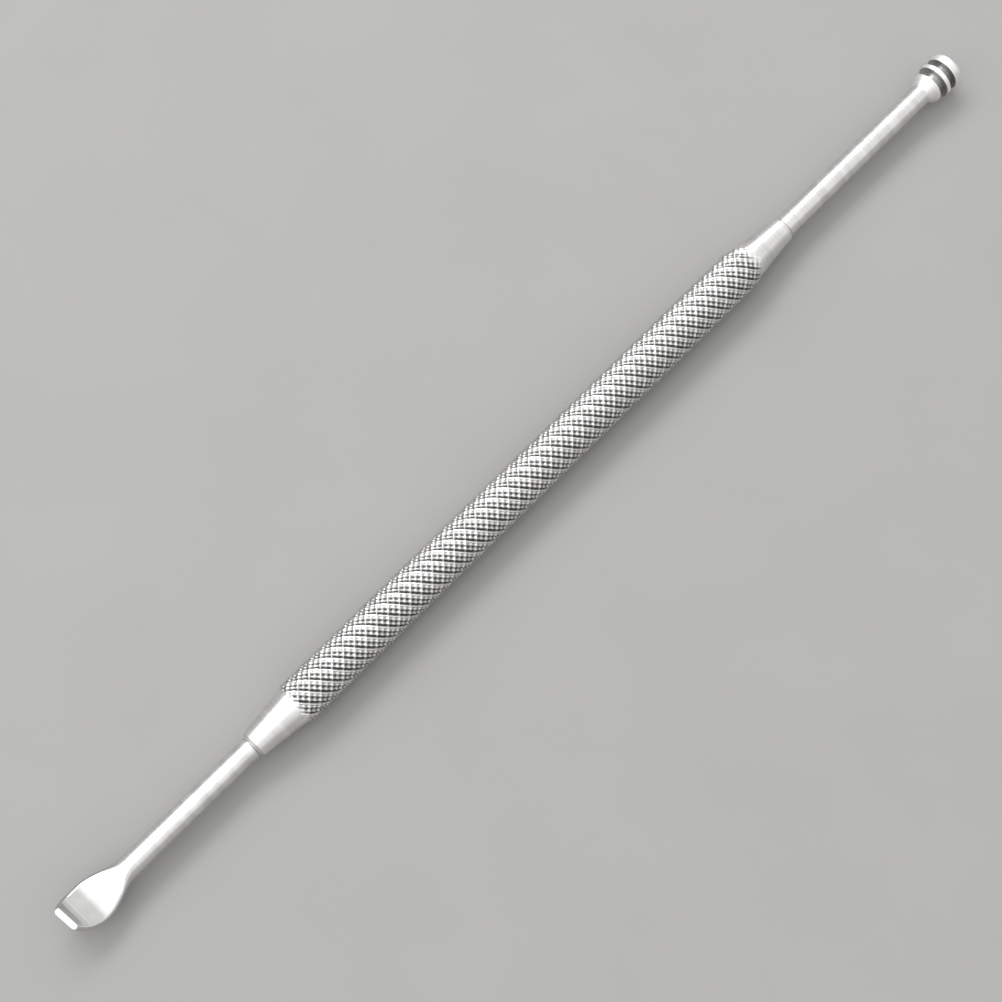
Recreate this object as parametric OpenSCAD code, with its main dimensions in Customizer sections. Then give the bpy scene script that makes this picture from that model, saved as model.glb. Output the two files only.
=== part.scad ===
// Double-ended hand tool: a knurled steel handle with a pressed-in shank at each end.
// One shank ends in a paddle blade with an upturned tip, the other in a head of three collars.
// The tool lies along X on the plane Z = 0, with its scoop towards -X and its collars towards +X.
// The origin is under the middle of the tool's length. All sizes are in millimetres.

/* [Grip] */
// Diameter over the crests of the knurl
grip_dia = 4.8; // [4.4:0.1:5.4]
// Length of the knurl at full diameter
grip_len = 64.8; // [50:0.2:80]
// Length of the knurl's sloping end on the scoop side
scoop_runout_len = 0.7; // [0.4:0.1:1.2]
// Length of the knurl's sloping end on the collar side
ring_runout_len = 2; // [1:0.1:3]

/* [Cones] */
// Length of the plain cone on the scoop side, chamfer included
scoop_cone_len = 5.45; // [4:0.05:8]
// Length of the plain cone on the collar side, chamfer included
ring_cone_len = 4.95; // [4:0.05:8]
// Diameter of the scoop side cone where it meets the knurl
scoop_cone_big_dia = 4.2; // [3.9:0.05:4.3]
// Diameter of the scoop side cone beside its chamfer
scoop_cone_small_dia = 3.05; // [2.8:0.05:3.5]
// Diameter of the collar side cone where it meets the knurl
ring_cone_big_dia = 3.9; // [3.7:0.05:4.3]
// Diameter of the collar side cone beside its chamfer
ring_cone_small_dia = 2.85; // [2.8:0.05:3.4]
// Width of the flat ring left at each end of the handle, round the shank
end_land = 0.04; // [0.02:0.01:0.1]

/* [Shanks] */
// Diameter of the scoop's rod
scoop_rod_dia = 2.35; // [2.2:0.05:2.6]
// Visible length of the scoop's round rod
scoop_rod_len = 16.25; // [8:0.05:25]
// Diameter of the collar head's rod
ring_rod_dia = 2.4; // [2.2:0.05:2.6]
// Visible length of the collar head's round rod
ring_rod_len = 22.35; // [8:0.05:30]
// Diameter of both tangs and of the bores that hold them
tang_dia = 2; // [1.6:0.05:2]
// Length of each tang
tang_len = 11.5; // [6:0.5:18]
// Depth of each bore beyond the end of its tang
bore_spare = 0.5; // [0.2:0.1:2]
// Lead-in chamfer on the end of each tang
tang_chamfer = 0.3; // [0.1:0.05:0.5]
// Broken edge on each rod's shoulder, which shows as a fine seam
shoulder_break = 0.1; // [0.05:0.01:0.12]

/* [Scoop] */
// Length from the round rod to the tip
scoop_len = 8; // [7.5:0.1:10]
// Width of the blade at its widest
blade_width = 4.65; // [4.2:0.05:5.4]
// Distance from the tip to the widest place
blade_widest_at = 3.4; // [2.8:0.1:3.6]
// Width of the straight end of the tip
tip_width = 2.7; // [2.2:0.1:3.4]
// Thickness of the blade
blade_thickness = 0.8; // [0.6:0.05:1]
// Angle by which the tip turns up
tip_angle = 62; // [30:1:66]
// Length of the stretch over which the tip turns up, along the blade
tip_bend_len = 3.5; // [2.8:0.1:3.8]
// Distance by which the tip stands to the +Y side of the rod's centre line
tip_lean = 0.4; // [0:0.05:0.5]
// Length of the ramp from the round rod to the flat blade
ramp_len = 2.6; // [2:0.1:3]

/* [Collar head] */
// Length of the cone that rises from the rod to the first collar
collar_rise_len = 0.8; // [0.5:0.05:1.2]
// Diameter of the first collar
first_collar_dia = 3.6; // [3.2:0.05:4.2]
// Length of the first collar's rim
first_collar_len = 0.4; // [0.3:0.05:0.8]
// Diameter of the second collar
second_collar_dia = 4.05; // [3.6:0.05:4.4]
// Length of the second collar
second_collar_len = 0.53; // [0.4:0.01:0.8]
// Diameter of the end collar
end_collar_dia = 4; // [3.6:0.05:4.4]
// Length of the end collar
end_collar_len = 1.15; // [0.9:0.05:1.6]
// Radius of the end collar's outer corner
end_corner_r = 0.5; // [0.2:0.05:0.7]
// Diameter of the necks between the collars
neck_dia = 2.4; // [2:0.05:2.6]
// Width of each groove between the collars
groove_len = 0.86; // [0.6:0.02:1.2]
// Broken edge on the collars' rims
rim_break = 0.06; // [0.03:0.01:0.1]

/* [Hidden] */
$fn = 96;
// Full angle of the drill point at the bottom of each bore
drill_point_angle = 118;
// The lean grows towards the tip as this power of the distance
lean_power = 1.4;
// The seam of each turned surface stands this far round from the line that the tool lies on
seam_turn = 5.9;
// Rings along the blade's skin, and points round each ring
ring_count = 36;
ring_points = 40;
// The blade's root is this much thinner all round than the rod, and reaches this far into it
root_step = 0.03;
root_depth = 0.5;
// The blade's curve runs on this far past the rod's end face
root_lap = 0.1;

// Stations along X, built up from the tip of the scoop to the end of the collar head
scoop_end = scoop_len + scoop_rod_len;
grip_start = scoop_end + scoop_cone_len + scoop_runout_len;
grip_end = grip_start + grip_len;
handle_end = grip_end + ring_runout_len + ring_cone_len;
head_start = handle_end + ring_rod_len;
head_len = collar_rise_len + first_collar_len + second_collar_len + end_collar_len + 2 * groove_len;
overall_len = head_start + head_len;
axis_height = grip_dia / 2;

// The scoop's centre line: straight, then an arc that turns up by tip_angle
half_thick = blade_thickness / 2;
bend_r = tip_bend_len / (tip_angle * PI / 180);
root_r = scoop_rod_dia / 2 - root_step;
path_len = scoop_len + root_lap + tip_bend_len - (bend_r + half_thick) * sin(tip_angle);
nose_r = blade_width / 2;

// Turns a profile of [distance along the tool, radius] points about the tool's axis
module turned(profile) {
    translate([-overall_len / 2, 0, axis_height])
        rotate([0, 90, 0])
            rotate([0, 0, seam_turn])
                rotate_extrude()
                    polygon([for (p = profile) [p[1], p[0]]]);
}

// A blind bore that opens at one end of the handle: towards +X for way 1, towards -X for way -1
module blind_bore(mouth, way) {
    depth = tang_len + bore_spare;
    point_len = tang_dia / 2 / tan(drill_point_angle / 2);
    turned([
        [mouth + way, 0],
        [mouth + way, tang_dia / 2],
        [mouth - way * depth, tang_dia / 2],
        [mouth - way * (depth + point_len), 0]
    ]);
}

// One bar: knurled grip, a plain cone at each end and a blind bore in each cone
module knurled_handle() {
    scoop_land_r = scoop_rod_dia / 2 + end_land;
    ring_land_r = ring_rod_dia / 2 + end_land;
    scoop_chamfer = scoop_cone_small_dia / 2 - scoop_land_r;
    ring_chamfer = ring_cone_small_dia / 2 - ring_land_r;
    color("gainsboro")
        difference() {
            turned([
                [scoop_end, 0],
                [scoop_end, scoop_land_r],
                [scoop_end + scoop_chamfer, scoop_cone_small_dia / 2],
                [scoop_end + scoop_cone_len, scoop_cone_big_dia / 2],
                [grip_start, grip_dia / 2],
                [grip_end, grip_dia / 2],
                [grip_end + ring_runout_len, ring_cone_big_dia / 2],
                [handle_end - ring_chamfer, ring_cone_small_dia / 2],
                [handle_end, ring_land_r],
                [handle_end, 0]
            ]);
            blind_bore(scoop_end, -1);
            blind_bore(handle_end, 1);
        }
}

// Half of the blade's outline at a distance from the tip along the blade
function nose_half_width(d) = let (
        // the nose is a half round that the straight tip cuts off
        reach = sqrt(pow(nose_r, 2) - pow(tip_width / 2, 2)),
        x = reach * (1 - d / blade_widest_at)
    ) sqrt(pow(nose_r, 2) - pow(x, 2));
function tail_half_width(d) = let (
        // from the widest place the blade narrows to the rod along half a cosine wave
        share = (d - blade_widest_at) / (path_len - blade_widest_at)
    ) root_r + (nose_r - root_r) * (1 + cos(180 * share)) / 2;
function half_width(d) = d < blade_widest_at ? nose_half_width(d) : tail_half_width(d);

// Half of the blade's thickness at a distance from the tip, which grows to the root's radius in the ramp
function half_height(d) = let (
        share = min(1, max(0, (d - path_len + ramp_len) / ramp_len))
    ) half_thick + (root_r - half_thick) * (1 - cos(180 * share)) / 2;

// The centre line's slope and its place, at a distance from the tip along the blade
function bend_at(d) = max(0, 1 - d / tip_bend_len) * tip_angle;
function centre_x(d) = scoop_len + root_lap - path_len + max(d, tip_bend_len) - bend_r * sin(bend_at(d));
function centre_y(d) = tip_lean * pow(max(0, 1 - d / blade_widest_at), lean_power);
function centre_z(d) = bend_r * (1 - cos(bend_at(d)));

// One ring of points round the blade: a slot shape with half round sides, square to the centre line
function blade_ring(d) = [
    for (i = [0:ring_points - 1])
        let (
            turn = 360 * (i + 0.5) / ring_points,
            h = half_height(d),
            w = max(half_width(d), h),
            y = h * cos(turn) + (w - h) * sign(cos(turn)),
            up = h * sin(turn)
        )
        [
            centre_x(d) + up * sin(bend_at(d)),
            centre_y(d) + y,
            centre_z(d) + up * cos(bend_at(d))
        ]
];

// The blade as one closed skin over its rings
module blade() {
    stations = [
        for (k = [0:ring_count]) path_len * (1 - cos(90 * k / ring_count)),
        path_len + root_depth
    ];
    rings = [for (d = stations) blade_ring(d)];
    last = len(stations) - 1;
    translate([-overall_len / 2, 0, axis_height])
        polyhedron(
            points = [for (r = rings) each r],
            faces = [
                [for (i = [0:ring_points - 1]) i],
                [for (i = [ring_points - 1:-1:0]) last * ring_points + i],
                for (k = [0:last - 1], i = [0:ring_points - 1])
                    let (a = k * ring_points, j = (i + 1) % ring_points)
                    [a + i, a + ring_points + i, a + ring_points + j, a + j]
            ]
        );
}

// Rod with a tang at its inner end and a flattened, upturned blade at its outer end
module scoop_shank() {
    shoulder = scoop_end;
    r = scoop_rod_dia / 2;
    color("silver")
        union() {
            turned([
                [scoop_len, 0],
                [scoop_len, r],
                [shoulder - shoulder_break, r],
                [shoulder, r - shoulder_break],
                [shoulder, tang_dia / 2],
                [shoulder + tang_len - tang_chamfer, tang_dia / 2],
                [shoulder + tang_len, tang_dia / 2 - tang_chamfer],
                [shoulder + tang_len, 0]
            ]);
            blade();
        }
}

// The end collar's outer corner as a quarter round
function end_corner() = [
    for (a = [0:15:90])
        [
            overall_len - end_corner_r * (1 - sin(a)),
            end_collar_dia / 2 - end_corner_r * (1 - cos(a))
        ]
];

// Rod with a tang at its inner end and a turned head of three collars at its outer end
module ring_shank() {
    shoulder = handle_end;
    r = ring_rod_dia / 2;
    neck_r = neck_dia / 2;
    first = head_start + collar_rise_len;
    first_end = first + first_collar_len;
    second = first_end + groove_len;
    second_end = second + second_collar_len;
    last = second_end + groove_len;
    color("silver")
        turned(concat(
            [
                [shoulder - tang_len, 0],
                [shoulder - tang_len, tang_dia / 2 - tang_chamfer],
                [shoulder - tang_len + tang_chamfer, tang_dia / 2],
                [shoulder, tang_dia / 2],
                [shoulder, r - shoulder_break],
                [shoulder + shoulder_break, r],
                [head_start, r],
                [first, first_collar_dia / 2],
                [first_end - rim_break, first_collar_dia / 2],
                [first_end, first_collar_dia / 2 - rim_break],
                [first_end, neck_r],
                [second, neck_r],
                [second, second_collar_dia / 2 - rim_break],
                [second + rim_break, second_collar_dia / 2],
                [second_end - rim_break, second_collar_dia / 2],
                [second_end, second_collar_dia / 2 - rim_break],
                [second_end, neck_r],
                [last, neck_r],
                [last, end_collar_dia / 2 - rim_break],
                [last + rim_break, end_collar_dia / 2]
            ],
            end_corner(),
            [[overall_len, 0]]
        ));
}

knurled_handle();
scoop_shank();
ring_shank();
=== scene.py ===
from math import cos, floor, pi, radians, sin, sqrt, tan

import bpy
import numpy as np
from mathutils import Matrix, Vector


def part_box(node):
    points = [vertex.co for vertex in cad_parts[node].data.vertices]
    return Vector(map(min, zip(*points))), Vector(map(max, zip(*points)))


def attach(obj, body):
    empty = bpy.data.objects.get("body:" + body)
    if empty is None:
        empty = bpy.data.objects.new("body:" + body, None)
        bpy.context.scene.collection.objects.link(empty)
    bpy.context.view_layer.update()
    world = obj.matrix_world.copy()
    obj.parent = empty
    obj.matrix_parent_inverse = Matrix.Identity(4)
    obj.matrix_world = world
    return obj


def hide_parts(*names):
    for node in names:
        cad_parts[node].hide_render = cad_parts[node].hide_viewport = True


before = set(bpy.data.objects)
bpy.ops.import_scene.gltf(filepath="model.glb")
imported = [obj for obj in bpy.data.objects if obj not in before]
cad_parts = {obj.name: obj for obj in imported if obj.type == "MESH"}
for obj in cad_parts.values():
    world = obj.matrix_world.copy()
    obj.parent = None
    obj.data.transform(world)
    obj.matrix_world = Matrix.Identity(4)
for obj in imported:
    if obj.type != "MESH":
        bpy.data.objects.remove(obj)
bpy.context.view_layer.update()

MM = 0.001

# ---------------------------------------------------------------------------------------------
# Sizes in millimetres and angles in radians, after part.scad. The collars are (radius, length).
# ---------------------------------------------------------------------------------------------
GRIP_R = 2.4
GRIP_LEN = 64.8
SCOOP_RUNOUT = 0.7
RING_RUNOUT = 2.0
SCOOP_CONE_LEN = 5.45
SCOOP_CONE_BIG_R = 2.1
SCOOP_CONE_SMALL_R = 1.525
RING_CONE_BIG_R = 1.95
RING_CONE_SMALL_R = 1.425
END_LAND = 0.04
SCOOP_ROD_R = 1.175
RING_ROD_R = 1.2
TANG_R = 1.0
TANG_LEN = 11.5
TANG_CHAMFER = 0.3
BORE_SPARE = 0.5
DRILL_POINT_ANGLE = radians(118)
DRILL_POINT_LEN = TANG_R / tan(DRILL_POINT_ANGLE / 2)
SHOULDER_BREAK = 0.1
SCOOP_LEN = 8.0
BLADE_HALF = 2.325
WIDEST_AT = 3.4
TIP_HALF = 1.35
HALF_THICK = 0.4
TIP_ANGLE = radians(62)
TIP_BEND_LEN = 3.5
TIP_LEAN = 0.4
LEAN_POWER = 1.4
RAMP_LEN = 2.6
ROOT_STEP = 0.03
ROOT_LAP = 0.1
COLLAR_RISE = 0.8
FIRST_COLLAR = (1.8, 0.4)
SECOND_COLLAR = (2.025, 0.53)
END_COLLAR = (2.0, 1.15)
END_CORNER_R = 0.5
RIM_BREAK = 0.06
NECK_R = 1.2
GROOVE_LEN = 0.86

# What part.scad leaves plain. The blade's bend starts this far from the tip, grows by this power and ends in
# a straight stretch. The tip stands out of square by the skew, which fades out between two distances from it.
BEND_ONSET = 4.4
BEND_POWER = 1.6
TIP_STRAIGHT = 0.25
TIP_SKEW = tan(radians(9))
SKEW_FADE = (4.0, 6.0)
# Small arcs on the sharp edges: the blade's lip, the scoop shank's turned edges and the handle's cones
LIP_BREAK = 0.06
ROOT_BREAK = 0.02
CONE_BREAK = 0.03
# Radius of the last ring before the centre of a tang's end and of the head's end face
TANG_CORE_R = 0.2
FACE_CORE_R = 0.3
# Distance from an arc or an edge to the point that keeps the flat beside it flat: in general, inside the
# blade's end face and on the head's end face
SUPPORT = 0.04
LIP_SUPPORT = 0.03
FACE_SUPPORT = 0.05
# Part of the end collar's length that is laid out before its rounded corner
COLLAR_LEAD = 0.4
# Points round the head, steps in its rounded corner, stations along the blade and steps in its lip
HEAD_SIDES = 120
CORNER_STEPS = 12
BLADE_STATIONS = 90
LIP_STEPS = 4

# Margins for telling from a face's centre which material it takes: at the blade's root and at a neck's ends
BLADE_SEAM = 0.05
NECK_SEAM = 0.01

# Stations along X, from the frame's own boxes
handle_lo, handle_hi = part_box("knurled_handle")
SCOOP_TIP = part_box("scoop_shank")[0][0] / MM
BLADE_ROOT = SCOOP_TIP + SCOOP_LEN
SCOOP_MOUTH = handle_lo[0] / MM
RING_MOUTH = handle_hi[0] / MM
HEAD_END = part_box("ring_shank")[1][0] / MM
AXIS_Z = (handle_lo[2] + handle_hi[2]) / 2 / MM
KNURL_START = SCOOP_MOUTH + SCOOP_CONE_LEN
GRIP_START = KNURL_START + SCOOP_RUNOUT
GRIP_END = GRIP_START + GRIP_LEN
KNURL_END = GRIP_END + RING_RUNOUT


# ---------------------------------------------------------------------------------------------
# Meshes
# ---------------------------------------------------------------------------------------------
def make_piece(name, points, faces, node, materials, zone, flat_faces=()):
    """A piece from points in mm about the tool's axis. zone(x) gives a face's material number."""
    mesh = bpy.data.meshes.new(name)
    mesh.from_pydata([(x * MM, y * MM, (z + AXIS_Z) * MM) for x, y, z in points], [], faces)
    mesh.update()
    mesh.polygons.foreach_set("use_smooth", [True] * len(mesh.polygons))
    for k in flat_faces:
        mesh.polygons[k].use_smooth = False
    for material in materials:
        mesh.materials.append(material)
    centres = np.empty(len(mesh.polygons) * 3)
    mesh.polygons.foreach_get("center", centres)
    mesh.polygons.foreach_set("material_index", [zone(x / MM) for x in centres[::3]])
    piece = bpy.data.objects.new(name, mesh)
    bpy.context.scene.collection.objects.link(piece)
    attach(piece, "root")
    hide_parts(node)


# Limits of the small arcs: the share of a side that one may take, how many times an arc's reach a side has to
# measure for a support point, and the half angle beyond which a corner stays as it is
SIDE_SHARE = 0.4
SIDE_ROOM = 2.5
NEARLY_STRAIGHT = radians(89)


def rounded(profile, radius, steps=4):
    """The profile with small arcs for corners, and a point beside each arc that keeps the flat flat."""
    out = [profile[0]]
    for before, corner, after in zip(profile, profile[1:], profile[2:]):
        corner = Vector(corner)
        back, on = Vector(before) - corner, Vector(after) - corner
        half = back.angle(on) / 2
        reach = min(radius / tan(half), SIDE_SHARE * back.length, SIDE_SHARE * on.length)
        if half > NEARLY_STRAIGHT:
            out.append(tuple(corner))
            continue
        centre = corner + (back.normalized() + on.normalized()).normalized() * reach / cos(half)
        start, end = corner + back.normalized() * reach, corner + on.normalized() * reach
        if back.length > SIDE_ROOM * (reach + SUPPORT):
            out.append(tuple(start + back.normalized() * SUPPORT))
        for k in range(steps + 1):
            spoke = start.lerp(end, k / steps) - centre
            out.append(tuple(centre + spoke.normalized() * reach * tan(half)))
        if on.length > SIDE_ROOM * (reach + SUPPORT):
            out.append(tuple(end + on.normalized() * SUPPORT))
    out.append(profile[-1])
    return out


def skin(points, loop, rings, faces, tip):
    """Adds rings of points after a loop of points, each joined to the last, and closes them at a tip."""
    n = len(loop)
    for ring in rings:
        first = len(points)
        points.extend(ring)
        new = list(range(first, first + n))
        faces.extend((loop[(i + 1) % n], loop[i], new[i], new[(i + 1) % n]) for i in range(n))
        loop = new
    points.append(tip)
    faces.extend((loop[(i + 1) % n], loop[i], len(points) - 1) for i in range(n))


def circle(x, r, angles):
    return [(x, r * cos(t), r * sin(t)) for t in angles]


# The knurl: lines of two hands, eight starts each, pressed as pits between ridges that run on. A period of a
# hand is one pitch along X.
PITCH_A = 1.5385
PITCH_B = 1.5505
STARTS = 8
KNURL_DEPTH = 0.23
KNURL_JITTER = 0.018
JITTER_SEED = 7
# A point that the jitter would lift is cut by this share of it instead
LIFT_SHARE = 0.4
# Share of the ring side's run-out that keeps the full knurl, and the gap left at each edge of the band
RUNOUT_HOLD = 0.4
BAND_GAP = 0.02
# Where hand A's deep groove lies in its period
DEEP_GROOVE_AT = 0.52
# Height across one period of each hand, as (place, height): 0 is the ridge and -1 one knurl depth below it
HAND_A = ((0, -1.3), (0.2, 0), (0.42, -0.75), (0.58, -0.05), (0.65, -0.05), (0.71, -0.3), (0.86, -0.1),
          (1, -1.3))
HAND_B = ((0, -0.8), (0.2, 0), (0.46, -1), (0.7, -0.15), (0.92, -1), (1, -0.8))
# How much of hand B's height counts in the beads, and their lowest point
BEAD_CUT = 0.6
DEEPEST = -1.4
# Smooth ridges that run on through the other hand's grooves. Hand B's follow this share of hand A's height.
RIDGE_A = ((0.7, -2), (0.78, -0.6), (0.86, -0.1), (0.93, -0.7), (1, -2))
RIDGE_B = ((0, -2), (0.12, -0.5), (0.2, 0), (0.28, -0.5), (0.4, -2))
RIDGE_CARRY = 0.6
# Places in a period where the mesh has its lines
CUTS_A = (0, 0.1, 0.2, 0.31, 0.42, 0.5, 0.58, 0.65, 0.71, 0.78, 0.86, 0.93)
CUTS_B = (0.03, 0.12, 0.2, 0.28, 0.37, 0.46, 0.58, 0.7, 0.81, 0.92)


def knurl_rows(cuts, first, last):
    """Lattice line places from period first to period last."""
    return np.array([k + c for k in range(first, last) for c in cuts])


def knurl_radius(x, u, v):
    """The grip's radius where line places u and v cross, inside the grip's own outline."""
    outline = np.interp(x, (KNURL_START, GRIP_START, GRIP_END, KNURL_END),
                        (SCOOP_CONE_BIG_R, GRIP_R, GRIP_R, RING_CONE_BIG_R))
    fade = np.interp(x, (KNURL_START, GRIP_START, GRIP_END + RUNOUT_HOLD * RING_RUNOUT, KNURL_END),
                     (0, 1, 1, 0))
    across_a, across_b = (u - DEEP_GROOVE_AT) % 1, v % 1
    hand_a = np.interp(across_a, *zip(*HAND_A))
    beads = hand_a + BEAD_CUT * np.interp(across_b, *zip(*HAND_B))
    ridge_a = np.interp(across_a, *zip(*RIDGE_A))
    ridge_b = np.interp(across_b, *zip(*RIDGE_B)) + RIDGE_CARRY * hand_a
    height = np.maximum(np.maximum(beads, DEEPEST), np.maximum(ridge_a, ridge_b))
    wobble = np.random.default_rng(JITTER_SEED).uniform(-KNURL_JITTER, KNURL_JITTER, np.shape(x))
    return outline + fade * (KNURL_DEPTH * height + np.minimum(wobble, -LIFT_SHARE * wobble))


def knurl_mesh():
    """The knurled band as points and faces, and its edge loops as its faces turn: scoop side, ring side."""
    per_mm = 1 / PITCH_A + 1 / PITCH_B
    lo, hi = KNURL_START + BAND_GAP, KNURL_END - BAND_GAP
    cuts_a = [c + DEEP_GROOVE_AT for c in CUTS_A]
    na, nb = len(cuts_a), len(CUTS_B)
    u = knurl_rows(cuts_a, 0, STARTS + 1)[:STARTS * na + 1]
    # Hand B's lines cover the band with a period or two to spare at each end
    v = knurl_rows(CUTS_B, floor(lo * per_mm) - STARTS - 2, floor(hi * per_mm) + 2)
    x = (u[:, None] + v[None, :]) / per_mm
    inside = (x >= lo) & (x <= hi)
    whole = inside[:-1, :-1] & inside[1:, :-1] & inside[:-1, 1:] & inside[1:, 1:]
    angle = 2 * pi / STARTS * (x / PITCH_A - u[:, None])
    radius = knurl_radius(x, u[:, None], v[None, :])

    number, points = {}, []

    def corner(a, b):
        # A full turn on, the line is hand A's first again, further along hand B
        if a == STARTS * na:
            a, b = 0, b + STARTS * nb
        if (a, b) not in number:
            number[a, b] = len(points)
            r, t = radius[a, b], angle[a, b]
            points.append((x[a, b], r * cos(t), r * sin(t)))
        return number[a, b]

    faces = []
    for a, b in zip(*np.nonzero(whole)):
        faces.append((corner(a, b), corner(a, b + 1), corner(a + 1, b + 1), corner(a + 1, b)))
    # An edge that only one face has belongs to one of the band's two rims
    edges = {(f[k], f[(k + 1) % 4]) for f in faces for k in range(4)}
    following = {p: q for p, q in edges if (q, p) not in edges}
    loops = []
    while following:
        start = next(iter(following))
        loop = [start]
        while following[loop[-1]] != start:
            loop.append(following.pop(loop[-1]))
        following.pop(loop[-1])
        loops.append(loop)
    loops.sort(key=lambda loop: points[loop[0]][0])
    return points, faces, loops


def angle_of(point):
    return np.arctan2(point[2], point[1])


def handle_end(mouth, way, small_r, knurl_edge, edge_r, rod_r):
    """The outline from the knurl's edge over the cone and the end land into the bore, as (x, radius)."""
    land_r = rod_r + END_LAND
    depth = TANG_LEN + BORE_SPARE
    outline = rounded([
        (knurl_edge, edge_r),
        (mouth - way * (small_r - land_r), small_r),
        (mouth, land_r),
        (mouth, TANG_R),
        (mouth - way * depth, TANG_R),
    ], CONE_BREAK, steps=3)
    return outline, (mouth - way * (depth + DRILL_POINT_LEN), 0, 0)


def handle(materials):
    points, faces, (scoop_loop, ring_loop) = knurl_mesh()
    scoop_end = handle_end(SCOOP_MOUTH, -1, SCOOP_CONE_SMALL_R, KNURL_START, SCOOP_CONE_BIG_R, SCOOP_ROD_R)
    ring_end = handle_end(RING_MOUTH, 1, RING_CONE_SMALL_R, KNURL_END, RING_CONE_BIG_R, RING_ROD_R)
    for loop, (outline, tip) in ((scoop_loop, scoop_end), (ring_loop, ring_end)):
        angles = [angle_of(points[p]) for p in loop]
        skin(points, loop, [circle(x, r, angles) for x, r in outline], faces, tip)
    make_piece("knurled_handle_skin", points, faces, "knurled_handle", materials,
               lambda x: 0 if KNURL_START <= x <= KNURL_END else 1)


# The scoop's centre line and outline, with d the distance from the tip along the blade
BEND_R = TIP_BEND_LEN / TIP_ANGLE
ROOT_R = SCOOP_ROD_R - ROOT_STEP
PATH_LEN = SCOOP_LEN + ROOT_LAP + TIP_BEND_LEN - (BEND_R + HALF_THICK) * sin(TIP_ANGLE)


def half_width(d):
    if d < WIDEST_AT:
        reach = sqrt(BLADE_HALF ** 2 - TIP_HALF ** 2) * (1 - d / WIDEST_AT)
        return sqrt(BLADE_HALF ** 2 - reach ** 2)
    share = (d - WIDEST_AT) / (PATH_LEN - WIDEST_AT)
    return ROOT_R + (BLADE_HALF - ROOT_R) * (1 + cos(pi * share)) / 2


def half_height(d):
    share = min(1, max(0, (d - PATH_LEN + RAMP_LEN) / RAMP_LEN))
    return HALF_THICK + (ROOT_R - HALF_THICK) * (1 - cos(pi * share)) / 2


# Angles round a blade section, from +Y over the top. Two close ones mark each edge of its two flats.
FLAT_EDGE = radians(86.25)
FLAT_SUPPORT = radians(86.5)
SIDE_STEPS = 23
quarter = [FLAT_EDGE * k / SIDE_STEPS for k in range(SIDE_STEPS + 1)] + [FLAT_SUPPORT]
half_turn = quarter + [pi / 2] + [pi - t for t in reversed(quarter)]
SECTION = half_turn + [-t for t in reversed(half_turn[1:-1])]

BLADE_START = BLADE_ROOT + ROOT_LAP - PATH_LEN
# Places where the centre line's course is worked out, from beyond the tip, where the skew carries some points
BEND_STEP = 0.01
BEYOND_TIP = -0.5
bend_places = np.arange(BEYOND_TIP, BEND_ONSET + BEND_STEP, BEND_STEP)


def bend_at(d):
    """The centre line's slope, which starts gently, grows towards the tip and ends straight."""
    share = 1 - (np.maximum(d, TIP_STRAIGHT) - TIP_STRAIGHT) / (BEND_ONSET - TIP_STRAIGHT)
    return TIP_ANGLE * np.maximum(0, share) ** BEND_POWER


# Distance still to run to the start of the bend, along X and up, from each place on the centre line
left_x = np.cumsum(np.cos(bend_at(bend_places))[::-1])[::-1] * BEND_STEP
left_z = np.cumsum(np.sin(bend_at(bend_places))[::-1])[::-1] * BEND_STEP


def centre(d):
    if d >= BEND_ONSET:
        return BLADE_START + d, 0.0
    return (BLADE_START + BEND_ONSET - np.interp(d, bend_places, left_x),
            np.interp(d, bend_places, left_z))


SKEW_ROUNDS = 4


def blade_ring(d, inset=0.0):
    """One ring round the blade: a slot shape with half round sides. Near the tip it stands out of square."""
    skew = TIP_SKEW * np.interp(d, SKEW_FADE, (1, 0))
    lean = TIP_LEAN * max(0, 1 - d / WIDEST_AT) ** LEAN_POWER
    ring = []
    for t in SECTION:
        side = max(-1, min(1, cos(t) / cos(FLAT_EDGE)))
        place = d
        # The skew moves a point along the blade, where the width differs, so its place is found in rounds
        for _ in range(SKEW_ROUNDS):
            h = half_height(place)
            y = (max(half_width(place), h) - h) * side + (h - inset) * cos(t)
            place = d - skew * y
        rise = (h - inset) * sin(t)
        bend = float(bend_at(place))
        cx, cz = centre(place)
        ring.append((cx + rise * sin(bend), lean + y, cz + rise * cos(bend)))
    return ring


def scoop(materials):
    rings = [blade_ring(0, LIP_BREAK + LIP_SUPPORT)]
    for k in range(LIP_STEPS + 1):
        turn = pi / 2 * k / LIP_STEPS
        rings.append(blade_ring(LIP_BREAK * (1 - cos(turn)), LIP_BREAK * (1 - sin(turn))))
    lip = LIP_BREAK + SUPPORT
    for k in range(BLADE_STATIONS + 1):
        rings.append(blade_ring(lip + (PATH_LEN - lip) * (k / BLADE_STATIONS)))
    inner = SCOOP_MOUTH + TANG_LEN
    rod = rounded([
        (BLADE_ROOT, ROOT_R),
        (BLADE_ROOT, SCOOP_ROD_R),
        (SCOOP_MOUTH - SHOULDER_BREAK, SCOOP_ROD_R),
        (SCOOP_MOUTH, SCOOP_ROD_R - SHOULDER_BREAK),
        (SCOOP_MOUTH, TANG_R),
        (inner - TANG_CHAMFER, TANG_R),
        (inner, TANG_R - TANG_CHAMFER),
        (inner, TANG_CORE_R),
    ], ROOT_BREAK, steps=3)
    rings += [circle(x, r, SECTION) for x, r in rod]
    points = list(rings[0])
    loop = list(range(len(SECTION)))
    faces = [tuple(loop)]
    skin(points, loop, rings[1:], faces, (inner, 0, 0))
    make_piece("scoop_shank_skin", points, faces, "scoop_shank", materials,
               lambda x: 1 if x < BLADE_ROOT - BLADE_SEAM else 0, flat_faces=(0,))


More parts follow.
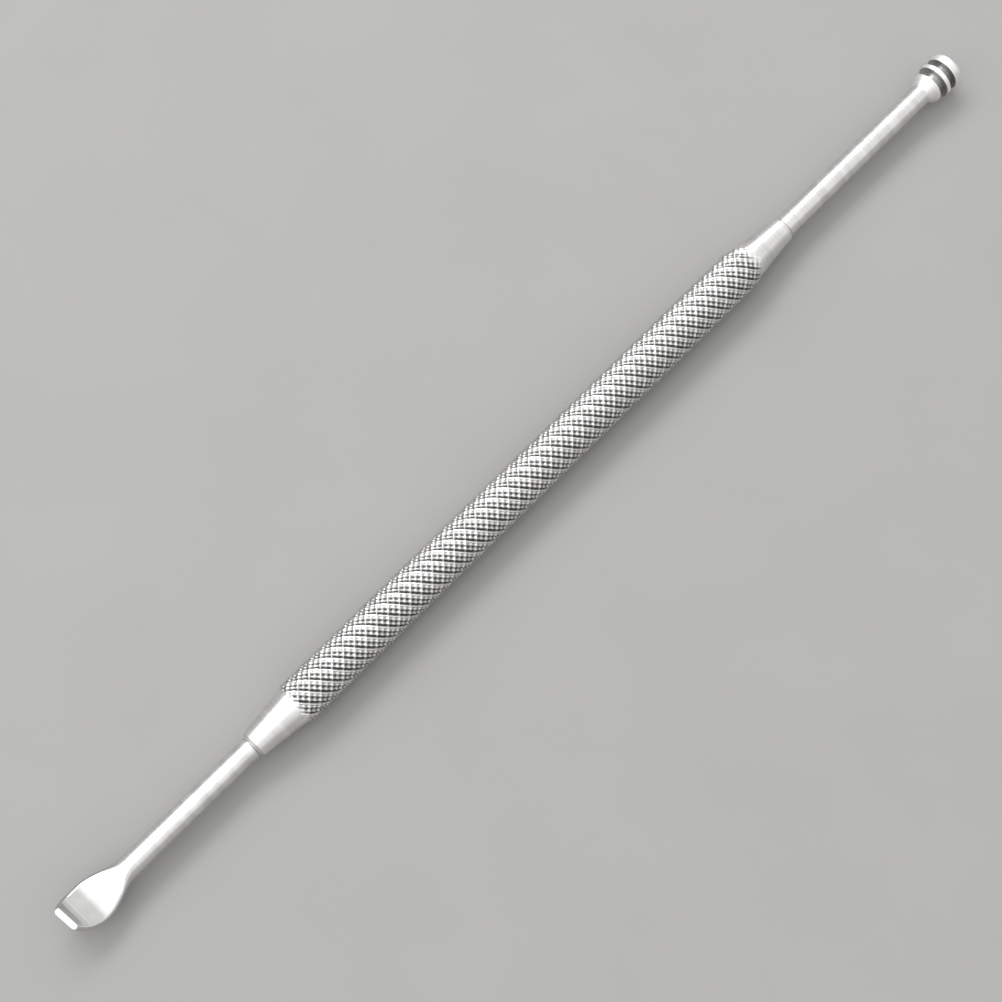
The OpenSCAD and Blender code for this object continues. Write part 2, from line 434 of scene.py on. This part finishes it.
def head_outline():
    """The ring shank's outline from tang to end face as (x, radius), the head's start, the necks' ends."""
    head = HEAD_END - END_COLLAR[1] - SECOND_COLLAR[1] - FIRST_COLLAR[1] - 2 * GROOVE_LEN - COLLAR_RISE
    first = head + COLLAR_RISE
    second = first + FIRST_COLLAR[1] + GROOVE_LEN
    last = second + SECOND_COLLAR[1] + GROOVE_LEN
    inner = RING_MOUTH - TANG_LEN
    fine = rounded([
        (inner, TANG_CORE_R),
        (inner, TANG_R - TANG_CHAMFER),
        (inner + TANG_CHAMFER, TANG_R),
        (RING_MOUTH, TANG_R),
        (RING_MOUTH, RING_ROD_R - SHOULDER_BREAK),
        (RING_MOUTH + SHOULDER_BREAK, RING_ROD_R),
        (head, RING_ROD_R),
        (first, FIRST_COLLAR[0]),
        (first + FIRST_COLLAR[1], FIRST_COLLAR[0]),
        (first + FIRST_COLLAR[1], NECK_R),
        (second, NECK_R),
        (second, SECOND_COLLAR[0]),
        (second + SECOND_COLLAR[1], SECOND_COLLAR[0]),
        (second + SECOND_COLLAR[1], NECK_R),
        (last, NECK_R),
        (last, END_COLLAR[0]),
        (last + COLLAR_LEAD, END_COLLAR[0]),
    ], RIM_BREAK)
    corner_x, corner_r = HEAD_END - END_CORNER_R, END_COLLAR[0] - END_CORNER_R
    turns = [pi / 2 * k / CORNER_STEPS for k in range(CORNER_STEPS + 1)]
    corner = [(corner_x + END_CORNER_R * sin(t), corner_r + END_CORNER_R * cos(t)) for t in turns]
    face = [(HEAD_END, corner_r - FACE_SUPPORT), (HEAD_END, FACE_CORE_R)]
    necks = ((first + FIRST_COLLAR[1], second), (second + SECOND_COLLAR[1], last))
    return fine + corner + face, head, necks


def ring_head(materials):
    outline, head, necks = head_outline()

    def zone(x):
        # Faces in the grooves, the collars' side walls beside them included, take the darker steel of painted
        # shade
        if any(a - NECK_SEAM < x < b + NECK_SEAM for a, b in necks):
            return 2
        return 1 if x > head else 0

    angles = [2 * pi * k / HEAD_SIDES for k in range(HEAD_SIDES)]
    points, faces = circle(*outline[0], angles), []
    loop = list(range(HEAD_SIDES))
    skin(points, loop, [circle(x, r, angles) for x, r in outline[1:]], faces, (HEAD_END, 0, 0))
    points.append((outline[0][0], 0, 0))
    faces.extend((i, (i + 1) % HEAD_SIDES, len(points) - 1) for i in loop)
    make_piece("ring_shank_skin", points, faces, "ring_shank", materials, zone)


# ---------------------------------------------------------------------------------------------
# Materials
# ---------------------------------------------------------------------------------------------
class Shader:
    """Short names for building one material's nodes."""

    def __init__(self, name):
        self.material = bpy.data.materials.new(name)
        self.material.use_nodes = True
        self.tree = self.material.node_tree
        self.surface = self.tree.nodes["Principled BSDF"]

    def add(self, kind, settings=None, **sockets):
        made = self.tree.nodes.new("ShaderNode" + kind)
        for key, value in (settings or {}).items():
            setattr(made, key, value)
        for key, value in sockets.items():
            self.put(made, key.replace("_", " "), value)
        return made

    def put(self, made, socket, value):
        target = made.inputs[int(socket)] if socket.isdigit() else made.inputs[socket]
        if isinstance(value, bpy.types.NodeSocket):
            self.tree.links.new(value, target)
        else:
            target.default_value = value

    def math(self, operation, first, second=0.0):
        made = self.add("Math", {"operation": operation})
        self.put(made, "0", first)
        self.put(made, "1", second)
        return made.outputs[0]

    def ramp(self, value, low, high, to_low, to_high):
        made = self.add("MapRange")
        for socket, number in zip(("0", "1", "2", "3", "4"), (value, low, high, to_low, to_high)):
            self.put(made, socket, number)
        return made.outputs[0]

    def place(self):
        """Object coordinates in metres, as separate X, Y and Z sockets."""
        split = self.add("SeparateXYZ")
        self.put(split, "0", self.add("TexCoord").outputs["Object"])
        return split.outputs

    def noise_1d(self, where, scale, detail):
        """Noise along one axis, with scale cells a metre."""
        made = self.add("TexNoise", {"noise_dimensions": "1D"}, W=where, Scale=scale, Detail=detail)
        return made.outputs["Fac"]

    def noise_3d(self, stretch, detail):
        """Noise in space, with this many cells a metre along X, Y and Z."""
        moved = self.add("Mapping", Vector=self.add("TexCoord").outputs["Object"], Scale=stretch)
        return self.add("TexNoise", Vector=moved.outputs[0], Scale=1.0, Detail=detail).outputs["Fac"]

    def spread(self, noise, low, high):
        """A noise's usual range, spread from low to high."""
        return self.ramp(noise, 0.3, 0.7, low, high)

    def bump(self, height, distance):
        return self.add("Bump", Height=height, Distance=distance, Strength=1.0).outputs[0]

    def grey(self, value):
        """A grey of this value, slightly warm."""
        made = self.add("CombineColor")
        for channel, tint in zip("012", (1.0, 0.99, 0.975)):
            self.put(made, channel, self.math("MULTIPLY", value, tint))
        return made.outputs[0]


def steel(name, base, roughness, rings, ring_depth, shine_spread=0.06):
    """Turned steel: fine rings round the X axis, this many a metre, in height, shine and shade."""
    s = Shader(name)
    x = s.place()[0]
    fine = s.noise_1d(x, rings, detail=3.0)
    broad = s.noise_1d(x, rings / 9, detail=2.0)
    stains = s.noise_3d((300, 300, 300), detail=4.0)
    shade = s.math("ADD", s.ramp(broad, 0.25, 0.75, base - 0.06, base + 0.06),
                   s.math("ADD", s.spread(stains, -0.02, 0.02), s.spread(fine, -0.05, 0.05)))
    s.put(s.surface, "Metallic", 1.0)
    s.put(s.surface, "Base Color", s.grey(shade))
    s.put(s.surface, "Roughness", s.spread(fine, roughness - shine_spread, roughness + shine_spread))
    s.put(s.surface, "Anisotropic", 0.5)
    s.put(s.surface, "Anisotropic Rotation", 0.25)
    s.put(s.surface, "Tangent", s.add("Tangent", {"direction_type": "RADIAL", "axis": "X"}).outputs[0])
    s.put(s.surface, "Normal", s.bump(fine, ring_depth))
    return s.material


# Depths, as shares of the knurl's, where the painted shade starts in a groove and where it is full
SHADE_STARTS = 0.3
SHADE_FULL = 1.15


def knurl_steel():
    """Knurled steel: bright ridges, grooves darkened with painted shade, and a fine rolled grain."""
    s = Shader("knurl_steel")
    x, y, z = s.place()[:3]
    rise = s.math("SUBTRACT", z, AXIS_Z * MM)
    radius = s.math("SQRT", s.math("ADD", s.math("MULTIPLY", y, y), s.math("MULTIPLY", rise, rise)))
    # The grip's own outline falls towards both cones
    fall = s.math("ADD",
                  s.ramp(x, GRIP_END * MM, KNURL_END * MM, 0, (GRIP_R - RING_CONE_BIG_R) * MM),
                  s.ramp(x, KNURL_START * MM, GRIP_START * MM, (GRIP_R - SCOOP_CONE_BIG_R) * MM, 0))
    depth = s.math("SUBTRACT", s.math("SUBTRACT", GRIP_R * MM, fall), radius)
    # Painted shade: the base colour darkens with depth in the grooves, down to 0.09 of itself, and the
    # grooves turn rougher
    painted_groove_shade = s.ramp(depth, SHADE_STARTS * KNURL_DEPTH * MM, SHADE_FULL * KNURL_DEPTH * MM, 0, 1)
    grain = s.noise_3d((14000, 14000, 14000), detail=3.0)
    patches = s.noise_3d((700, 700, 700), detail=3.0)
    shade = s.math("MULTIPLY", s.spread(patches, 0.7, 0.85), s.ramp(painted_groove_shade, 0, 1, 1, 0.09))
    roughness = s.math("ADD", s.spread(grain, 0.24, 0.36), s.ramp(painted_groove_shade, 0, 1, 0, 0.25))
    s.put(s.surface, "Metallic", 1.0)
    s.put(s.surface, "Base Color", s.grey(shade))
    s.put(s.surface, "Roughness", roughness)
    s.put(s.surface, "Normal", s.bump(grain, 0.006 * MM))
    return s.material


# Length of the blade over which its finish grows into the rod's
FINISH_BLEND = 1.8


def blade_steel():
    """Ground steel with faint streaks along the blade. It grows into the rod's finish at the root."""
    s = Shader("blade_steel")
    rodlike = s.ramp(s.place()[0], (BLADE_ROOT - FINISH_BLEND) * MM, BLADE_ROOT * MM, 0, 1)
    streaks = s.noise_3d((500, 9000, 9000), detail=3.0)
    stains = s.noise_3d((500, 500, 500), detail=4.0)
    shade = s.math("ADD", s.spread(stains, 0.54, 0.61), s.ramp(rodlike, 0, 1, 0, 0.12))
    roughness = s.math("ADD", s.spread(streaks, 0.12, 0.18), s.ramp(rodlike, 0, 1, 0, 0.22))
    s.put(s.surface, "Metallic", 1.0)
    s.put(s.surface, "Base Color", s.grey(shade))
    s.put(s.surface, "Roughness", roughness)
    s.put(s.surface, "Normal", s.bump(streaks, 0.0012 * MM))
    return s.material


def floor_card():
    """The floor's matt grey card, with a faint mottle."""
    s = Shader("floor_card")
    mottle = s.noise_3d((60, 60, 60), detail=4.0)
    s.put(s.surface, "Base Color", s.grey(s.spread(mottle, 0.28, 0.29)))
    s.put(s.surface, "Roughness", 0.9)
    return s.material


turned = steel("turned_steel", base=0.7, roughness=0.38, rings=7000, ring_depth=0.007 * MM)
cone = steel("cone_steel", base=0.7, roughness=0.4, rings=6000, ring_depth=0.006 * MM)
# The collars take a lighter copy of the steel than the rods: painted light, so that they read white
collar = steel("collar_lit_steel", base=0.9, roughness=0.55, rings=5000, ring_depth=0.002 * MM, shine_spread=0.03)
# The necks take a darker copy of the steel: painted shade in the grooves between the collars
neck = steel("neck_shaded_steel", base=0.44, roughness=0.42, rings=5000, ring_depth=0.002 * MM, shine_spread=0.03)

handle([knurl_steel(), cone])
scoop([turned, blade_steel()])
ring_head([turned, collar, neck])


# ---------------------------------------------------------------------------------------------
# Floor, lights and camera, in metres
# ---------------------------------------------------------------------------------------------
def floor_sheet(half):
    mesh = bpy.data.meshes.new("floor")
    corners = [(-half, -half, 0), (half, -half, 0), (half, half, 0), (-half, half, 0)]
    mesh.from_pydata(corners, [], [(0, 1, 2, 3)])
    mesh.materials.append(floor_card())
    sheet = bpy.data.objects.new("floor", mesh)
    bpy.context.scene.collection.objects.link(sheet)


def softbox(name, direction, distance, size, radiance, along=0.0):
    """A soft rectangle of light. It faces the tool from a direction, or a point this far along X from it."""
    lamp = bpy.data.lights.new(name, "AREA")
    lamp.shape = "RECTANGLE"
    lamp.size, lamp.size_y = size
    lamp.energy = radiance * pi * lamp.size * lamp.size_y
    box = bpy.data.objects.new(name, lamp)
    towards = Vector(direction).normalized()
    box.location = towards * distance + Vector((along, 0, 0))
    box.rotation_euler = towards.to_track_quat("Z", "Y").to_euler()
    bpy.context.scene.collection.objects.link(box)


# The ceiling's panels all start at one place along X, beyond the scoop, and end at a place of their own
CEILING_TOWARDS = (0, 0.31, 0.95)
CEILING_START = -1.9
CEILING_WIDTH = 1.4


def ceiling_panel(name, end, distance, radiance):
    """A softbox overhead that ends at this place along X."""
    size = (end - CEILING_START, CEILING_WIDTH)
    softbox(name, CEILING_TOWARDS, distance, size, radiance, along=(CEILING_START + end) / 2)


floor_sheet(half=4.0)
softbox("key_softbox", (0, 0.63, 0.776), distance=0.6, size=(0.56, 0.2), radiance=6.4, along=0.18)
ceiling_panel("ceiling_softbox", end=1.3, distance=0.7, radiance=0.45)
# Three more panels stop over the tool, each a step further, so that the light fades from the scoop's side on.
# They lie above one another, as lamps in one plane would hide each other in mirrors.
for k, end in enumerate((-0.03, 0.03, 0.09)):
    ceiling_panel(f"ceiling_step_{k + 1}", end, distance=0.71 + 0.01 * k, radiance=0.32)
softbox("end_softbox", (0.95, 0.2, 0.25), distance=1.3, size=(1.4, 0.66), radiance=0.32)
softbox("fill_softbox", (0, -0.73, 0.68), distance=0.8, size=(1.4, 0.5), radiance=0.55, along=0.1)

scene = bpy.context.scene
world = bpy.data.worlds.new("studio")
world.use_nodes = True
# The room behind the lights is a little brighter overhead than at the horizon
nodes, links = world.node_tree.nodes, world.node_tree.links
split, brightness = nodes.new("ShaderNodeSeparateXYZ"), nodes.new("ShaderNodeMapRange")
links.new(nodes.new("ShaderNodeTexCoord").outputs["Generated"], split.inputs[0])
links.new(split.outputs["Z"], brightness.inputs["Value"])
brightness.inputs["To Min"].default_value = 0.56
brightness.inputs["To Max"].default_value = 0.6
nodes["Background"].inputs["Color"].default_value = (1, 1, 1, 1)
links.new(brightness.outputs[0], nodes["Background"].inputs["Strength"])
scene.world = world
scene.view_settings.view_transform = "Standard"

azimuth, elevation, away = radians(-45.6), radians(72.8), 0.204
look_at = Vector((-0.00515, 0.000214, 0.0024))
back = Vector((sin(azimuth) * cos(elevation), -cos(azimuth) * cos(elevation), sin(elevation)))
right = Vector((cos(azimuth), sin(azimuth), 0))
up = back.cross(right)
place = Matrix((right, up, back)).transposed().to_4x4()
place.translation = look_at + back * away
lens = bpy.data.cameras.new("camera")
lens.lens = 71.86
lens.sensor_width = 36
lens.clip_start = 0.01
lens.clip_end = 20
camera = bpy.data.objects.new("camera", lens)
camera.matrix_world = place
scene.collection.objects.link(camera)
scene.camera = camera
